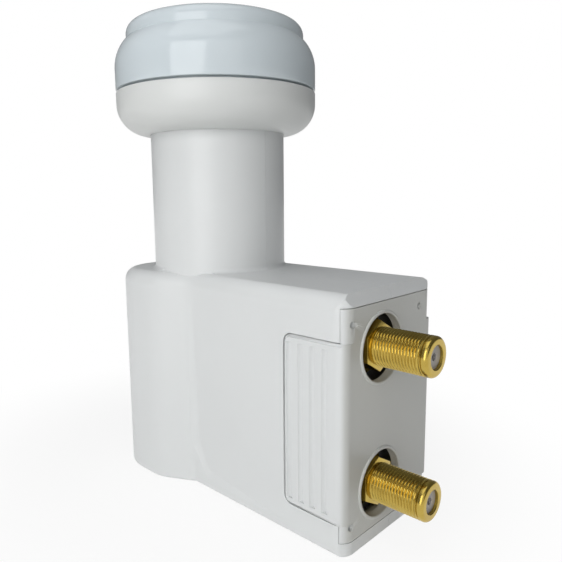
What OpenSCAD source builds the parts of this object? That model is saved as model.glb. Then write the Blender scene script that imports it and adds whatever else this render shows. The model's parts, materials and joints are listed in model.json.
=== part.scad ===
// Satellite low noise block: feed head on a 40 mm neck, moulded body, two F connectors
// and a sliding weather cover.  Millimetres.  Neck axis is Z, the base face is z = 0,
// the connectors point along +X and the panelled side faces -Y.

/* [Body] */
// height of the moulded body, base to top face
body_height = 62.3; // [50:0.1:75]
// distance from the neck axis to the connector end
body_end = 62.3; // [50:0.1:75]
// half the width between the flat sides
body_half_width = 19.25; // [17:0.05:24]
// wall thickness of the shell
wall = 2; // [1.5:0.05:3]
// thickness of the top wall
top_wall = 2.95; // [2:0.05:4]
// radius of the convex shoulder under the crisp top edge
shoulder_radius = 3.75; // [2:0.05:5]
// height of the shoulder
shoulder_drop = 3.69; // [1.5:0.01:5]
// radius of the edge round the base
base_edge_radius = 1; // [0.4:0.1:2]
// radius of the upright corners at the connector end
end_corner_radius = 3.6; // [1.5:0.1:4]
// how far the top edge is set back at the connector end
end_setback = 1.5; // [0.5:0.1:3]

/* [Lobe round the neck] */
// reach of the lobe behind the neck axis
lobe_reach = 25.2; // [24:0.1:32]
// half width of the lobe
lobe_half_width = 25; // [23:0.1:30]
// corner radius of the lobe
lobe_corner = 14; // [10:0.1:18]
// length of the straight side of the lobe
lobe_straight = 5.7; // [2:0.1:10]
// angle of the taper that runs into the flat sides
taper_angle = 29; // [20:0.5:40]

/* [Side panel] */
// left edge of the sunk panel
panel_start = 8; // [4:0.1:20]
// lower edge of the sunk panel
panel_base = 6; // [4:0.1:20]
// depth at the deepest corner
panel_depth = 0.9; // [0.2:0.05:1.1]
// corner radius of the panel
panel_corner = 8; // [2:0.5:12]
// width of the sloping wall round the panel
panel_bevel = 3.5; // [1:0.1:4]
// slope of the panel floor towards the grips, degrees
panel_slope_x = 1.5; // [1:0.1:3]
// slope of the panel floor towards the top, degrees
panel_slope_z = 1.1; // [0.5:0.1:3]

/* [Neck and head] */
// radius of the neck that the dish clamp holds
neck_radius = 20; // [18:0.05:23]
// visible length of the neck
neck_length = 39.5; // [30:0.5:60]
// how far the neck runs on inside the collar
neck_hidden = 6.5; // [4:0.1:9]
// fillet where the neck meets the top face
neck_fillet = 1.2; // [0.4:0.1:2]
// how far the head stands out beyond the neck
head_overhang = 9.5; // [8.5:0.1:16]
// radius of the curve under the collar
collar_round = 8.5; // [5:0.1:9]
// height of the collar
collar_height = 11.8; // [10:0.1:20]
// wall of the collar and its inner sleeve
collar_wall = 2; // [1.5:0.1:3]
// dark seam between collar and cap
head_seam = 0.6; // [0.3:0.1:1.5]
// height of the straight skirt of the cap
cap_skirt = 6.1; // [3:0.1:12]
// radius of the cap shoulder
cap_shoulder = 11; // [8:0.1:14]
// step from the head down to the crown
crown_step = 3.5; // [1.5:0.1:6]
// height of the crown above the straight skirt
crown_height = 12.6; // [11.5:0.1:16]
// edge radius of the crown
crown_edge = 3; // [1:0.1:5]
// wall of the cap
cap_wall = 1.6; // [1.2:0.1:2.4]
// how deep the cap rim reaches into the collar
cap_rim_depth = 4.2; // [3:0.1:7]
// section diameter of the cap seal
seal_section = 2; // [1.4:0.1:2.4]

/* [Weather cover] */
// travel of the sliding cover
cover_travel = 20; // [10:0.5:24]
// thickness of the end plate
plate_thickness = 1.8; // [1.5:0.1:3]
// seam between the end plate and the shell behind it
plate_seam = 0.1; // [0.05:0.05:0.3]
// gap over and under the end plate
plate_ease = 0.2; // [0.1:0.05:0.4]
// height of the sill under the end plate
sill_height = 3.2; // [2.5:0.1:5]
// length of the ribbed grips along the side
grip_length = 18.5; // [12:0.1:24]
// lower edge of the grip opening
grip_low = 7.7; // [7:0.1:14]
// upper edge of the grip opening
grip_high = 51.6; // [45:0.1:54]
// corner radius of the grip opening
grip_corner = 2.5; // [1:0.1:5]
// how far the grip stands proud of the side
grip_proud = 0.35; // [0.1:0.05:1]
// width of the low border round the grip
grip_border = 0.6; // [0.3:0.1:1]
// corner radius of the grip where it meets the end plate
grip_end_radius = 2.5; // [1:0.1:3.5]
// number of finger grooves
groove_count = 4; // [2:1:6]
// spacing of the finger grooves
groove_pitch = 3.6; // [2.5:0.1:4]
// width of a finger groove
groove_width = 1.8; // [0.6:0.1:2.2]
// depth of a finger groove
groove_depth = 0.4; // [0.2:0.05:0.8]
// distance of the first groove from the back of the grip
groove_start = 2.25; // [1:0.05:5]
// thickness of the hidden arms
arm_thickness = 1.2; // [0.8:0.05:1.5]
// length of the hidden arms behind the grips
arm_length = 29.4; // [26:0.1:34]
// radius of the two connector windows
window_radius = 8.3; // [8:0.05:9]
// section radius of the bead round a window
window_bead = 0.45; // [0.2:0.05:0.6]
// sideways offset of the windows
window_offset = 4.6; // [4:0.1:6]
// how far the windows sit below the connector axes
window_drop = 0.5; // [0:0.1:0.8]
// radius of the small dimples in the end plate
dimple_radius = 0.9; // [0.5:0.1:1.3]
// height of the stop on each arm
stop_height = 0.8; // [0.4:0.05:0.9]
// clearance round every sliding face
slide_clearance = 0.3; // [0.2:0.05:0.5]
// height of the ledge behind the edge of the end plate
ledge_height = 1.2; // [0.8:0.1:1.5]

/* [Connectors] */
// sideways offset of both connectors
connector_offset = 5.3; // [4:0.1:7]
// height of the lower connector
connector_low = 14.4; // [12:0.1:20]
// spacing of the two connectors
connector_spacing = 34.1; // [30:0.1:36]
// radius over the F thread
thread_radius = 4.7625; // [4.7:0.0005:4.8]
// how far the barrel stands out of the end plate
connector_reach = 14.6; // [10:0.1:20]
// key width of the hexagon
hex_width = 11; // [10:0.1:13]
// how far the hexagon stands out of the end plate
hex_stand = 0.2; // [0:0.1:2]
// chamfer at the nose of the barrel
nose_chamfer = 0.6; // [0.3:0.1:1]
// radius of the mouth at the tip
mouth_radius = 2.8; // [2.4:0.1:3.2]
// thickness of the lip round the mouth
lip_thickness = 0.8; // [0.5:0.1:1.2]
// bore of the barrel
barrel_bore = 3.5; // [3:0.05:3.9]
// inner radius of the plug socket in the insulator
socket_radius = 0.9; // [0.6:0.05:1.3]
// radius of the contact tube
contact_radius = 1.15; // [0.9:0.05:1.5]
// thickness of the sealing washer under the hexagon
washer_thickness = 0.8; // [0.5:0.1:1.2]
// radius of that washer
washer_radius = 7.8; // [6.4:0.1:8]

/* [Chassis] */
// inner radius of the round waveguide
guide_radius = 8.75; // [8:0.05:10]
// wall of the waveguide tube
guide_wall = 2; // [1.5:0.1:3]
// level of the closed end of the waveguide
guide_floor = 10; // [9:0.5:14]
// radius of the horn
horn_radius = 18.2; // [16:0.1:18.4]
// radius of the horn mouth
horn_mouth = 14.6; // [12:0.1:15]
// height of the horn rim above the neck end
horn_rise = 26.5; // [22:0.1:27]
// depth of the choke ring round the mouth
choke_depth = 6; // [3:0.5:8]
// back face of the chassis box behind the neck axis
box_back = 12.5; // [12:0.1:14]
// front face of the chassis box
box_front = 57; // [56:0.1:57.3]
// space under the chassis box
box_foot = 2; // [1.5:0.1:3]
// space over the chassis box
box_roof = 1.85; // [1.35:0.05:2.35]
// half width of the chassis box
box_half = 15.2; // [15:0.05:15.4]
// thickness of the front wall that holds the connectors
front_wall = 6; // [5:0.1:6.5]
// level of the board seat beside the waveguide
board_seat = 10.95; // [10.9:0.01:11.2]
// width of the rim round the board
rim = 2; // [1.5:0.1:2.2]
// thickness of the lid
lid_thickness = 1.2; // [1:0.05:1.4]
// thickness of the lid gasket
gasket_thickness = 0.5; // [0.3:0.05:0.8]
// gap between parts that are fixed together
fit_gap = 0.05; // [0.02:0.01:0.1]

/* [Board] */
// thickness of the circuit board
board_thickness = 0.8; // [0.6:0.05:1]
// gap round the board
board_gap = 0.3; // [0.1:0.05:0.6]
// radius of the dielectric resonators
puck_radius = 2.9; // [2:0.1:3.5]
// height of the dielectric resonators
puck_height = 1.1; // [0.8:0.05:1.2]
// spacing of the dielectric resonators
puck_spacing = 18; // [12:0.5:24]
// distance of the resonators from the front of the chamber
puck_inset = 18.3; // [14:0.1:22]
// width of each pen of the shield
pen_width = 12; // [9:0.5:14]
// wall of the shield pens
pen_wall = 0.6; // [0.4:0.05:0.8]
// radius of the probe pins
probe_radius = 0.5; // [0.3:0.05:0.8]
// radius of the insulating beads round the probes
bead_radius = 1.6; // [1.2:0.1:2]
// how far the probes reach in from the guide wall
probe_reach = 5.4; // [4:0.1:6.5]
// height of the lower probe above the floor of the guide
probe_lift = 8; // [6:0.1:10]
// height of the bent probe above the lower one
probe_step = 18; // [16:0.5:20]
// how far the bent probe runs outside the guide wall
probe_run = 4.5; // [4:0.1:5.5]

/* [Fasteners] */
// radius of the shell screws
shell_screw = 1.2; // [1:0.05:1.4]
// radius of the shell screw heads
shell_head = 2; // [1.8:0.05:2.2]
// radius of the posts that take the shell screws
post_radius = 2.6; // [2.5:0.05:2.9]
// radius of the lid screws
lid_screw = 1; // [0.8:0.05:1.3]
// radius of the lid screw heads
lid_head = 1.9; // [1.6:0.05:2.1]
// radius of the tuning screws
tuning_screw = 1.5; // [1.2:0.05:1.8]

/* [Hidden] */
$fn = 72;
eps = 0.01;
fillet_margin = 0.6;
top = body_height;
cavity_top = top - top_wall;
box_low = wall + box_foot;
box_high = cavity_top - box_roof;
side = body_half_width;
inner_side = side - wall;
back_centre = -lobe_reach + lobe_corner;
front_centre = back_centre + lobe_straight;
side_centre = lobe_half_width - lobe_corner;
neck_top = top + neck_length;
collar_low = neck_top;
collar_top = collar_low + collar_height;
cap_low = collar_top + head_seam;
skirt_top = cap_low + cap_skirt;
crown_top = skirt_top + crown_height;
sleeve_outer = neck_radius + 2 * fit_gap + collar_wall;
head_radius = neck_radius + head_overhang;
crown_radius = head_radius - crown_step;
channel_outer = head_radius - collar_wall;
channel_floor = collar_low + 4.4;
rim_outer = channel_outer - 0.2;
rim_low = cap_low - cap_rim_depth;
seal_centre = rim_outer - cap_wall / 2 - 0.5;
plate_x = body_end - plate_thickness;
plate_low = sill_height + plate_ease;
plate_high = cavity_top - plate_ease;
seat_x = plate_x - plate_seam;
ledge_x = seat_x - 2;
grip_back = body_end - grip_length;
arm_back = grip_back - arm_length;
arm_outer = inner_side - slide_clearance;
arm_inner = arm_outer - arm_thickness;
stop_x = arm_back + 1;
stop_length = 2.4;
stop_low = 25;
stop_width = 10;
hex_front = body_end + hex_stand;
hex_back = box_front + washer_thickness;
tip = body_end + connector_reach;
connector_high = connector_low + connector_spacing;
socket_depth = 12;
barrel_back = box_front - front_wall;
pocket_depth = 6.8;
leg_x = barrel_back - 4;
board_face = board_seat + board_thickness;
gasket_face = board_face + 1.75;
lid_face = gasket_face + gasket_thickness;
lid_top = lid_face + lid_thickness;
lid_front = barrel_back - 0.7;
chamber_front = lid_front - rim;
chamber_back = box_back - rim;
chamber_low = box_low + 0.5 + rim;
chamber_high = box_high - 0.5 - rim;
horn_top = neck_top + horn_rise;
horn_start = neck_top + 0.5;
horn_full = neck_top + 16.5;
post_front = 53.5;
post_back = -18.6;
post_low = wall + 3.2;
post_high = cavity_top - 3;
back_post_low = 9;
back_post_high = 52;
probe_low = guide_floor + probe_lift;
probe_high = probe_low + probe_step;
reflector_level = probe_low + probe_step / 2;
probe_feed_x = guide_radius + probe_run;
puck_x = chamber_front - puck_inset;
puck_low = (chamber_low + chamber_high - puck_spacing) / 2;
puck_high = puck_low + puck_spacing;
groove_round = (pow(groove_width / 2, 2) + pow(groove_depth, 2)) / 2 / groove_depth;
lid_x = [2.9 - chamber_back, 19, 40];
lid_z = [chamber_low + 2.9, chamber_high - 2.9];

// half section of the outer body: rounded base edge and a full round above, cut crisp later
module edge_section(width) {
    translate([0, base_edge_radius]) square([width, top - shoulder_drop - base_edge_radius]);
    square([width - base_edge_radius, top - shoulder_drop]);
    translate([width - base_edge_radius, base_edge_radius]) circle(base_edge_radius);
    square([width - shoulder_radius, top - shoulder_drop + shoulder_radius]);
    translate([width - shoulder_radius, top - shoulder_drop]) circle(shoulder_radius);
}

// section with the shoulder on both sides, run along X
module side_slab(width, from, to) {
    translate([from, 0, 0]) rotate([90, 0, 90]) linear_extrude(to - from) {
        edge_section(width);
        mirror([1, 0]) edge_section(width);
    }
}

// outer body without the neck, its top planed flat to leave the crisp edge
module body_outer() {
    difference() {
        body_round();
        translate([-2 * lobe_reach, -2 * lobe_half_width, top])
            cube([2 * lobe_reach + body_end + 10, 4 * lobe_half_width, shoulder_radius]);
    }
}

// the body's slabs and corners before planing
module body_round() {
    side_slab(side, back_centre, body_end);
    side_slab(lobe_half_width, back_centre, front_centre);
    translate([back_centre, side_centre, 0]) rotate([90, 0, 0])
        linear_extrude(2 * side_centre) mirror([1, 0]) edge_section(lobe_corner);
    for (s = [0, 1]) mirror([0, s, 0]) {
        translate([back_centre, -side_centre, 0]) rotate([0, 0, 180])
            rotate_extrude(angle = 90) edge_section(lobe_corner);
        translate([front_centre, -side_centre, 0]) {
            rotate([0, 0, -90]) rotate_extrude(angle = taper_angle + 20) edge_section(lobe_corner);
            rotate([0, 0, taper_angle]) taper_block();
        }
    }
}

// one tapered flank, its outer face towards -Y and a hair inside the corner's curve
module taper_block() {
    rotate([90, 0, 90]) linear_extrude(lobe_corner) mirror([1, 0])
        edge_section(lobe_corner - 2 * eps);
    cube([lobe_corner, 6, top]);
}

// plan of the body, drawn in by an inset
module body_plan(inset, end) {
    translate([back_centre, -(side - inset)]) square([end - back_centre, 2 * (side - inset)]);
    translate([back_centre, -(lobe_half_width - inset)])
        square([lobe_straight, 2 * (lobe_half_width - inset)]);
    translate([-lobe_reach + inset, -side_centre])
        square([lobe_corner - inset, 2 * side_centre]);
    for (s = [-1, 1]) {
        for (cx = [back_centre, front_centre])
            translate([cx, s * side_centre]) circle(lobe_corner - inset);
        translate([front_centre, s * side_centre]) mirror([0, s > 0 ? 1 : 0])
            rotate(taper_angle) translate([0, -(lobe_corner - 2 * eps - inset)])
            square([lobe_corner, lobe_corner]);
    }
}

// a rectangle with rounded corners, both given by their limits
module rounded(x0, y0, x1, y1, r) {
    translate([x0 + r, y0]) square([x1 - x0 - 2 * r, y1 - y0]);
    translate([x0, y0 + r]) square([x1 - x0, y1 - y0 - 2 * r]);
    for (x = [x0 + r, x1 - r])
        for (y = [y0 + r, y1 - r]) translate([x, y]) circle(r);
}

// plan in the XZ plane, pushed from y0 to y1
module across(y0, y1) {
    translate([0, y1, 0]) rotate([90, 0, 0]) linear_extrude(y1 - y0) children();
}

// plan in the YZ plane, pushed from x0 to x1
module along(x0, x1) {
    translate([x0, 0, 0]) rotate([90, 0, 90]) linear_extrude(x1 - x0) children();
}

// waste outside a rounded upright corner at the connector end
module corner_waste(half, r) {
    for (s = [-1, 1])
        translate([body_end, s * half, -1]) linear_extrude(top + 2) difference() {
            translate([-r, s > 0 ? -r : -1]) square([r + 1, r + 1]);
            translate([-r, -s * r]) circle(r);
        }
}

// sunk panel on the -Y side, its walls and its floor sloping
module panel_waste() {
    above = 0.3;
    floor_y = -side + panel_depth;
    wall_x = panel_start + 2 * eps;
    wall_z = panel_base + 2 * eps;
    run = panel_bevel * (panel_depth + above) / panel_depth;
    intersection() {
        union() {
            translate([0, 0, panel_base + panel_corner]) linear_extrude(top)
                polygon([[wall_x, floor_y], [wall_x - run, -side - above],
                    [grip_back + 30, -side - above], [grip_back + 30, floor_y]]);
            along(panel_start + panel_corner, grip_back + 30)
                polygon([[floor_y, wall_z], [-side - above, wall_z - run],
                    [-side - above, panel_base + panel_corner], [floor_y, panel_base + panel_corner]]);
            intersection() {
                translate([panel_start + panel_corner, floor_y, panel_base + panel_corner])
                    rotate([90, 0, 0]) cylinder(h = panel_depth + above, r1 = panel_corner,
                        r2 = panel_corner + run);
                translate([panel_start + panel_corner - 20, -side - 2, panel_base + panel_corner - 20])
                    cube([20, 4, 20]);
            }
        }
        translate([panel_start, -side + panel_depth, panel_base])
            rotate([panel_slope_z, 0, -panel_slope_x])
            translate([-30, -6, -30]) cube([grip_back + 40, 6, top + 60]);
    }
}

// the whole shell before it is parted into two halves
module shell_both() {
    difference() {
        union() {
            difference() {
                union() {
                    body_outer();
                    translate([0, 0, top - shoulder_drop])
                        cylinder(h = neck_top + neck_hidden - top + shoulder_drop, r = neck_radius);
                    intersection() {
                        translate([0, 0, top]) rotate_extrude() translate([neck_radius, 0])
                            difference() {
                                square(neck_fillet);
                                translate([neck_fillet, neck_fillet]) circle(neck_fillet);
                            }
                        linear_extrude(top + neck_fillet + 1)
                            body_plan(shoulder_radius + fillet_margin, body_end - wall);
                    }
                }
                translate([0, 0, wall]) linear_extrude(cavity_top - wall)
                    body_plan(wall, ledge_x);
                // opening behind the end plate and the seat of the plate
                along(ledge_x - 1, body_end + 1)
                    translate([-inner_side, sill_height + ledge_height])
                    square([2 * inner_side, cavity_top - sill_height - 2 * ledge_height]);
                along(seat_x, body_end + 1) translate([-side - 2, sill_height])
                    square([2 * side + 4, cavity_top - sill_height]);
                translate([0, 0, cavity_top - 1])
                    cylinder(h = neck_top + neck_hidden - cavity_top + 2, r = neck_radius - wall);
                corner_waste(side, end_corner_radius);
                across(-40, 40) polygon([[body_end - end_setback, top],
                    [body_end + 1, top - 4.7], [body_end + 1, top + 1], [body_end - end_setback, top + 1]]);
                panel_waste();
                mirror([0, 1, 0]) panel_waste();
            }
            shell_ribs();
        }
        // openings for the ribbed grips
        across(-40, 40) rounded(grip_back, grip_low, body_end + 10, grip_high, grip_corner);
        // grooves for the stops on the cover arms
        for (s = [-1, 1])
            translate([stop_x - slide_clearance, s > 0 ? inner_side - eps : -inner_side - stop_height,
                stop_low - slide_clearance])
                cube([stop_length + cover_travel + 2 * slide_clearance, stop_height + eps,
                    stop_width + 2 * slide_clearance]);
    }
}

// ribs that carry the chassis, rails that guide the cover arms and the screw posts
module shell_ribs() {
    for (x = [0, 34]) for (s = [-1, 1]) {
        translate([x, s > 0 ? 2 : -inner_side - 0.5, wall - eps])
            cube([2, inner_side - 1.5, box_low - wall - 2 * fit_gap + eps]);
        translate([x + (x > 0 ? 0 : 24), s > 0 ? 2 : -inner_side - 0.5, box_high + 2 * fit_gap])
            cube([2, inner_side - 1.5, cavity_top - box_high - 2 * fit_gap + eps]);
    }
    for (s = [-1, 1]) for (z = [grip_low - 1.4, grip_high])
        translate([arm_back, s > 0 ? arm_inner + 0.2 : -inner_side - eps, z])
            cube([grip_back - arm_back, inner_side - arm_inner - 0.2 + eps, 1.4]);
    for (p = post_places())
        across(-inner_side - 0.5, inner_side + 0.5) translate(p) circle(post_radius);
    for (z = [back_post_low, back_post_high]) for (s = [-1, 1])
        translate([-lobe_reach + wall / 2, s > 0 ? 1 : -4, z - 0.8])
            cube([post_back + lobe_reach - wall / 2, 3, 1.6]);
}

function post_places() = [[post_front, post_low], [post_front, post_high],
    [post_back, back_post_low], [post_back, back_post_high]];

// near half of the shell
module left_shell() {
    color([0.86, 0.87, 0.87])
    difference() {
        shell_both();
        translate([-60, -fit_gap, -1]) cube([200, 80, 200]);
        for (p = post_places())
            across(-14, 1) translate(p) circle(shell_screw + fit_gap);
    }
}

// far half of the shell, with the screw holes
module right_shell() {
    color([0.86, 0.87, 0.87])
    difference() {
        shell_both();
        translate([-60, fit_gap - 80, -1]) cube([200, 80, 200]);
        for (p = post_places()) {
            across(-1, 60) translate(p) circle(shell_screw + 2 * fit_gap);
            across(side - 6, 60) translate(p) circle(shell_head + 2 * fit_gap);
        }
    }
}

// outline of the grip, drawn in by an inset
module grip_outline(inset) {
    difference() {
        rounded(grip_back + inset, grip_low + inset, body_end + 6, grip_high - inset,
            grip_corner - inset);
        translate([body_end, 0]) square([20, top]);
    }
}

// end plate with rounded upright edges and a bead round each window
module cover_plate() {
    difference() {
        along(plate_x, body_end) translate([-side, plate_low])
            square([2 * side, plate_high - plate_low]);
        corner_waste(side, end_corner_radius);
    }
    for (z = [connector_low, connector_high])
        translate([body_end, -window_offset, z - window_drop]) rotate([0, 90, 0])
            rotate_extrude() translate([window_radius + window_bead - 0.1, 0]) circle(window_bead);
}

// ribbed grip with its hidden arm on the -Y side
module cover_grip() {
    difference() {
        union() {
            across(-side, -arm_inner) grip_outline(slide_clearance);
            across(-side - grip_proud, -arm_inner) grip_outline(slide_clearance + grip_border);
        }
        corner_waste(side + grip_proud, grip_end_radius);
        for (i = [0 : groove_count - 1])
            translate([grip_back + groove_start + i * groove_pitch,
                -side - grip_proud + groove_depth - groove_round, grip_low + 2])
                cylinder(h = grip_high - grip_low - 4, r = groove_round);
    }
    across(-arm_outer, -arm_inner)
        rounded(arm_back, grip_low + slide_clearance, body_end - 1, grip_high - slide_clearance, 1);
    translate([stop_x, -arm_outer - stop_height + slide_clearance, stop_low])
        cube([stop_length, stop_height, stop_width]);
}

// sliding weather cover: end plate, ribbed grips, hidden arms
module weather_cover() {
    color([0.83, 0.84, 0.83])
    difference() {
        union() {
            cover_plate();
            for (s = [0, 1]) mirror([0, s, 0]) cover_grip();
        }
        for (z = [connector_low, connector_high])
            translate([0, -window_offset, z - window_drop]) rotate([0, 90, 0])
                cylinder(h = body_end + 5, r = window_radius);
        for (y = [-16.3, 12.4]) for (z = [plate_low + 3.5, plate_high - 3.7])
            translate([body_end - 0.5, y, z]) rotate([0, 90, 0]) cylinder(h = 1, r = dimple_radius);
    }
}

// collar that holds the two neck halves together
module collar_ring() {
    color([0.9, 0.89, 0.86])
    rotate_extrude() difference() {
        union() {
            translate([neck_radius + 2 * fit_gap, collar_low])
                square([head_radius - collar_round - neck_radius - 2 * fit_gap, collar_height]);
            translate([neck_radius + 2 * fit_gap, collar_low + collar_round])
                square([head_radius - neck_radius - 2 * fit_gap, collar_height - collar_round]);
            intersection() {
                translate([head_radius - collar_round, collar_low + collar_round])
                    circle(collar_round);
                translate([neck_radius + 2 * fit_gap, collar_low])
                    square([head_radius, collar_height]);
            }
            translate([horn_radius + 0.4, neck_top + neck_hidden + fit_gap])
                square([4, 1.5]);
        }
        translate([sleeve_outer, channel_floor + 4.1])
            square([channel_outer - sleeve_outer, collar_height]);
        translate([sleeve_outer, channel_floor])
            square([channel_outer - 2.2 - sleeve_outer, collar_height]);
        intersection() {
            translate([channel_outer - 4.1, channel_floor + 4.1]) circle(4.1);
            translate([sleeve_outer, channel_floor]) square([head_radius, 4.2]);
        }
    }
}

// half section of the cap, drawn in by an inset
module cap_section(inset) {
    intersection() {
        union() {
            square([head_radius - inset, skirt_top]);
            translate([head_radius - cap_shoulder, skirt_top]) circle(cap_shoulder - inset);
            square([crown_radius - inset, crown_top - crown_edge]);
            square([crown_radius - crown_edge, crown_top - inset]);
            translate([crown_radius - crown_edge, crown_top - crown_edge])
                circle(crown_edge - inset);
        }
        translate([0, cap_low]) square([head_radius, crown_top]);
    }
}

// plastic window over the horn
module feed_cap() {
    color([0.72, 0.75, 0.79])
    rotate_extrude() {
        difference() {
            cap_section(0);
            cap_section(cap_wall);
        }
        translate([rim_outer - cap_wall, rim_low])
            square([cap_wall, cap_rim_depth + 3]);
        translate([rim_outer - cap_wall, cap_low])
            square([head_radius - cap_wall / 2 - rim_outer + cap_wall, 2]);
    }
}

// rubber ring under the rim of the cap
module cap_seal() {
    color([0.1, 0.1, 0.1])
    rotate_extrude() translate([seal_centre, rim_low - fit_gap - seal_section / 2])
        circle(seal_section / 2);
}

// waveguide and horn of the chassis, solid
module horn_outer() {
    translate([0, 0, box_low]) cylinder(h = horn_start - box_low, r = guide_radius + guide_wall);
    translate([0, 0, horn_start])
        cylinder(h = horn_full - horn_start, r1 = guide_radius + guide_wall, r2 = horn_radius);
    translate([0, 0, horn_full]) cylinder(h = horn_top - horn_full, r = horn_radius);
    for (z = [8, 30]) translate([0, 0, top + z])
        cylinder(h = 2.5, r = neck_radius - wall - 4 * fit_gap);
}

// one-piece casting: horn, waveguide and the box for the board
module chassis() {
    color([0.66, 0.67, 0.68])
    difference() {
        union() {
            across(-board_seat, box_half) translate([-box_back, box_low])
                square([box_front + box_back, box_high - box_low]);
            across(-gasket_face, 0) difference() {
                translate([-box_back, box_low]) square([box_front + box_back, box_high - box_low]);
                translate([-chamber_back, chamber_low])
                    square([chamber_front + chamber_back, chamber_high - chamber_low]);
            }
            for (x = lid_x) for (z = lid_z)
                across(-lid_face, -board_seat + 1) translate([x, z]) circle(2.4);
            horn_outer();
        }
        // hollow on the far side, ribs left standing
        for (x = [guide_radius + 4.5 + bead_radius, 34])
            across(-board_seat + 3, 40)
                translate([x, chamber_low + 1.5])
                square([(x < 30 ? 17.2 : 9.5), chamber_high - chamber_low - 3]);
        // horn mouth and waveguide
        translate([0, 0, guide_floor]) cylinder(h = horn_top - 16 - guide_floor, r = guide_radius);
        translate([0, 0, horn_top - 16])
            cylinder(h = 16 + eps, r1 = guide_radius, r2 = horn_mouth + eps);
        translate([0, 0, horn_top - choke_depth]) difference() {
            cylinder(h = choke_depth + 1, r = horn_radius - 1);
            translate([0, 0, -1]) cylinder(h = choke_depth + 3, r = horn_mouth + 1);
        }
        // seats and rear pockets of the connectors
        for (z = [connector_low, connector_high]) translate([0, -connector_offset, z]) {
            translate([barrel_back - 1, 0, 0]) rotate([0, 90, 0])
                cylinder(h = front_wall + 2, r = thread_radius + fit_gap);
            translate([barrel_back - pocket_depth, -10, -5]) cube([pocket_depth + eps, 10 + 4.5, 10]);
        }
        // clearance round the shell screw posts
        for (z = [post_low, post_high])
            across(-40, 40) translate([post_front, z]) circle(post_radius + 2 * fit_gap + 0.2);
        // lid screw holes
        for (x = lid_x) for (z = lid_z)
            across(-40, -board_seat + 2.5) translate([x, z]) circle(lid_screw + fit_gap);
        // probe ways and the reflector pin
        across(-40, 0) translate([0, probe_low]) circle(bead_radius + fit_gap);
        across(-40, bead_radius + 0.6) translate([probe_feed_x, probe_high])
            circle(bead_radius + 0.4);
        along(0, probe_feed_x) translate([0, probe_high]) circle(bead_radius + fit_gap);
        across(-guide_radius - 1.2, guide_radius + 1.2) translate([0, reflector_level])
            circle(probe_radius + fit_gap);
    }
}

// flat lid over the board
module chassis_lid() {
    color([0.72, 0.73, 0.74])
    difference() {
        across(-lid_top, -lid_face)
            rounded(-box_back, box_low + 0.5, lid_front, box_high - 0.5, 1.5);
        for (x = lid_x) for (z = lid_z) {
            across(-40, 0) translate([x, z]) circle(lid_screw + 2 * fit_gap);
            translate([x, -lid_top - eps, z]) rotate([-90, 0, 0])
                cylinder(h = lid_head - lid_screw + eps, r1 = lid_head + fit_gap, r2 = lid_screw + fit_gap);
        }
        for (z = [puck_low, puck_high])
            across(-40, 0) translate([puck_x, z]) circle(tuning_screw + fit_gap);
    }
}

// soft gasket between the rim and the lid
module lid_gasket() {
    color([0.15, 0.15, 0.16])
    across(-lid_face, -gasket_face) difference() {
        translate([-box_back, box_low + 0.5])
            square([lid_front + box_back, box_high - box_low - 1]);
        translate([-chamber_back, chamber_low])
            square([chamber_front + chamber_back, chamber_high - chamber_low]);
    }
}

// circuit board beside the waveguide
module rf_board() {
    color([0.1, 0.35, 0.2])
    across(-board_face, -board_seat) difference() {
        translate([-chamber_back + board_gap, chamber_low + board_gap])
            square([chamber_front + chamber_back - 2 * board_gap,
                chamber_high - chamber_low - 2 * board_gap]);
        for (x = lid_x) for (z = lid_z) translate([x, z]) circle(2.4 + board_gap);
        for (z = lid_z) translate([-box_back, z < top / 2 ? z - 5 : z])
            square([box_back + lid_x[0], 5]);
        for (z = [connector_low, connector_high]) translate([leg_x, z]) circle(0.8);
        translate([0, probe_low]) circle(probe_radius + fit_gap);
        translate([probe_feed_x, probe_high]) circle(probe_radius + 0.1 + fit_gap);
    }
}

// tinned fence that parts the board into chambers
module shield_frame() {
    color([0.78, 0.79, 0.8])
    across(-lid_face + 0.3, -board_face) {
        difference() {
            translate([puck_x - pen_width / 2, puck_low - pen_width / 2])
                square([pen_width, puck_spacing + pen_width]);
            translate([puck_x - pen_width / 2 + pen_wall, puck_low - pen_width / 2 + pen_wall])
                square([pen_width - 2 * pen_wall, puck_spacing + pen_width - 2 * pen_wall]);
        }
        translate([puck_x - pen_width / 2, (puck_low + puck_high - pen_wall) / 2])
            square([pen_width, pen_wall]);
    }
}

// a flat chip on the board
module chip(x, z, w, h) {
    across(-board_face - 0.9, -board_face) translate([x - w / 2, z - h / 2]) square([w, h]);
}

// chip that mixes the bands down
module mixer_chip() {
    color([0.12, 0.12, 0.13]) chip(12, 40, 5, 5);
}

// chip that switches bands and polarisation
module switch_chip() {
    color([0.12, 0.12, 0.13]) chip(14, 22, 6, 4);
}

// supply regulator
module regulator() {
    color([0.14, 0.14, 0.14]) chip(42, 31, 4, 6.5);
}

// a ceramic puck on the board
module resonator(z) {
    color([0.9, 0.86, 0.76])
    across(-board_face - puck_height, -board_face) translate([puck_x, z]) circle(puck_radius);
}

// resonator of the low band
module resonator_low() {
    resonator(puck_low);
}

// resonator of the high band
module resonator_high() {
    resonator(puck_high);
}

// slotted screw that trims a resonator
module tuning(z) {
    color([0.75, 0.6, 0.3])
    difference() {
        across(-lid_top - 0.3, -board_face - puck_height - 0.3) translate([puck_x, z])
            circle(tuning_screw);
        translate([puck_x - 3, -lid_top - 1, z - 0.25]) cube([6, 1.2, 0.5]);
    }
}

// trimmer of the low band
module tuning_screw_low() {
    tuning(puck_low);
}

// trimmer of the high band
module tuning_screw_high() {
    tuning(puck_high);
}

// straight probe, through the board into the guide
module probe_vertical() {
    color([0.8, 0.65, 0.3])
    across(-board_face - 0.6, -guide_radius + probe_reach) translate([0, probe_low])
        circle(probe_radius);
}

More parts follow.
